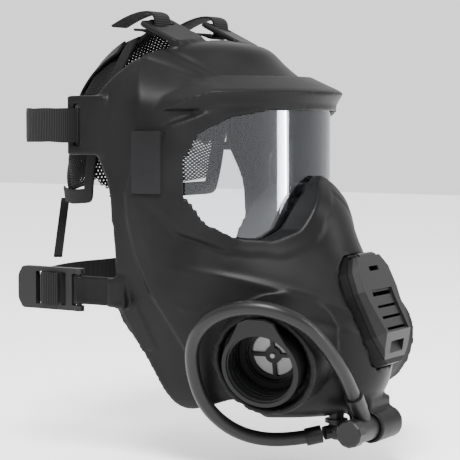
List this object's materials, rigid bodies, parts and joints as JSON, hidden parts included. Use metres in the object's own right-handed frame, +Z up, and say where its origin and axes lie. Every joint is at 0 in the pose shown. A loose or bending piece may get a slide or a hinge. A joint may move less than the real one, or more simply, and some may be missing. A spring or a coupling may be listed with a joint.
{
  "type": "full face respirator",
  "caption": "Full face respirator with a rubber face blank, wrap-round clear visor, open round-thread filter ports, louvred front valve cover, drinking tube and mesh head harness.",
  "frame": {"origin": "middle of the wearer's head, on the mask's plane of symmetry, about level with the nose bridge", "axes": "+Z up the wearer's head, -Y the way the wearer faces, +X to the wearer's left"},
  "size_m": [0.1758, 0.2219, 0.2505],
  "materials": {
    "blank_rubber": "satin",
    "clear_visor": "clear, glossy",
    "clip_plastic": "grained",
    "port_plastic": "satin",
    "soft_rubber": "matte",
    "valve_membrane": "smooth, pale",
    "buckle_plastic": "satin",
    "webbing": "ribbed weave",
    "diaphragm_metal": "satin",
    "cover_plastic": "semi-gloss",
    "cup_rubber": "glossy",
    "hose_rubber": "satin",
    "coupling_plastic": "satin",
    "mesh_fabric": "open mesh"
  },
  "bodies": {
    "mask": {"face_blank": "blank_rubber", "visor": "clear_visor", "side_clip_right": "clip_plastic", "filter_connector_right": "port_plastic", "inlet_gasket_right": "soft_rubber", "inlet_seat_right": "port_plastic", "connector_nut_right": "port_plastic", "cup_seat_right": "port_plastic", "temple_strap_right": "webbing", "forehead_strap_right": "webbing", "side_strap_right": "webbing", "side_clip_left": "clip_plastic", "filter_connector_left": "port_plastic", "inlet_gasket_left": "soft_rubber", "inlet_seat_left": "port_plastic", "connector_nut_left": "port_plastic", "cup_seat_left": "port_plastic", "temple_strap_left": "webbing", "forehead_strap_left": "webbing", "side_strap_left": "webbing", "valve_housing": "port_plastic", "speech_diaphragm": "diaphragm_metal", "diaphragm_ring": "port_plastic", "nose_cup": "cup_rubber", "drinking_tube": "hose_rubber", "tube_sleeve": "hose_rubber", "tube_ferrule": "port_plastic", "coupling_body": "coupling_plastic", "chin_inlet": "port_plastic", "mouthpiece": "port_plastic", "head_cap": "mesh_fabric", "nape_strap": "webbing"},
    "cover": {"front_cover": "cover_plastic"},
    "outlet_valve": {"outlet_valve": "valve_membrane"},
    "inlet_valve_right": {"inlet_valve_right": "valve_membrane"},
    "inlet_valve_left": {"inlet_valve_left": "valve_membrane"},
    "cup_valve_right": {"cup_valve_right": "valve_membrane"},
    "cup_valve_left": {"cup_valve_left": "valve_membrane"},
    "buckle_right": {"buckle_right": "buckle_plastic", "nape_end_right": "webbing"},
    "buckle_left": {"buckle_left": "buckle_plastic", "nape_end_left": "webbing"},
    "dust_cap": {"coupling_cap": "coupling_plastic"}
  },
  "joints": [
    {"name": "cover_hinge", "type": "hinge", "parent": "mask", "child": "cover", "pos_m": [0, -0.09028, -0.01226], "axis": [-1, 0, 0], "range_deg": [0, 65]},
    {"name": "outlet_valve_lift", "type": "slide", "parent": "mask", "child": "outlet_valve", "axis": [0, -0.927, 0.375], "range_m": [0, 0.0015], "stiffness_N_per_m": 4},
    {"name": "inlet_valve_right_lift", "type": "slide", "parent": "mask", "child": "inlet_valve_right", "axis": [0.9549, 0.16, 0.25], "range_m": [0, 0.0015], "stiffness_N_per_m": 4},
    {"name": "inlet_valve_left_lift", "type": "slide", "parent": "mask", "child": "inlet_valve_left", "axis": [-0.9549, 0.16, 0.25], "range_m": [0, 0.0015], "stiffness_N_per_m": 4},
    {"name": "cup_valve_right_lift", "type": "slide", "parent": "mask", "child": "cup_valve_right", "axis": [1, 0, 0], "range_m": [0, 0.0012], "stiffness_N_per_m": 4},
    {"name": "cup_valve_left_lift", "type": "slide", "parent": "mask", "child": "cup_valve_left", "axis": [-1, 0, 0], "range_m": [0, 0.0012], "stiffness_N_per_m": 4},
    {"name": "buckle_right_tilt", "type": "hinge", "parent": "mask", "child": "buckle_right", "pos_m": [-0.0704, 0.06, -0.033], "axis": [0, 0, 1], "range_deg": [-10, 45]},
    {"name": "buckle_left_tilt", "type": "hinge", "parent": "mask", "child": "buckle_left", "pos_m": [0.0704, 0.06, -0.033], "axis": [0, 0, 1], "range_deg": [-45, 10]},
    {"name": "dust_cap_turn", "type": "hinge", "parent": "mask", "child": "dust_cap", "pos_m": [-0.026, -0.0985, -0.1085], "axis": [-1, 0, 0], "range_deg": [0, 90]}
  ]
}
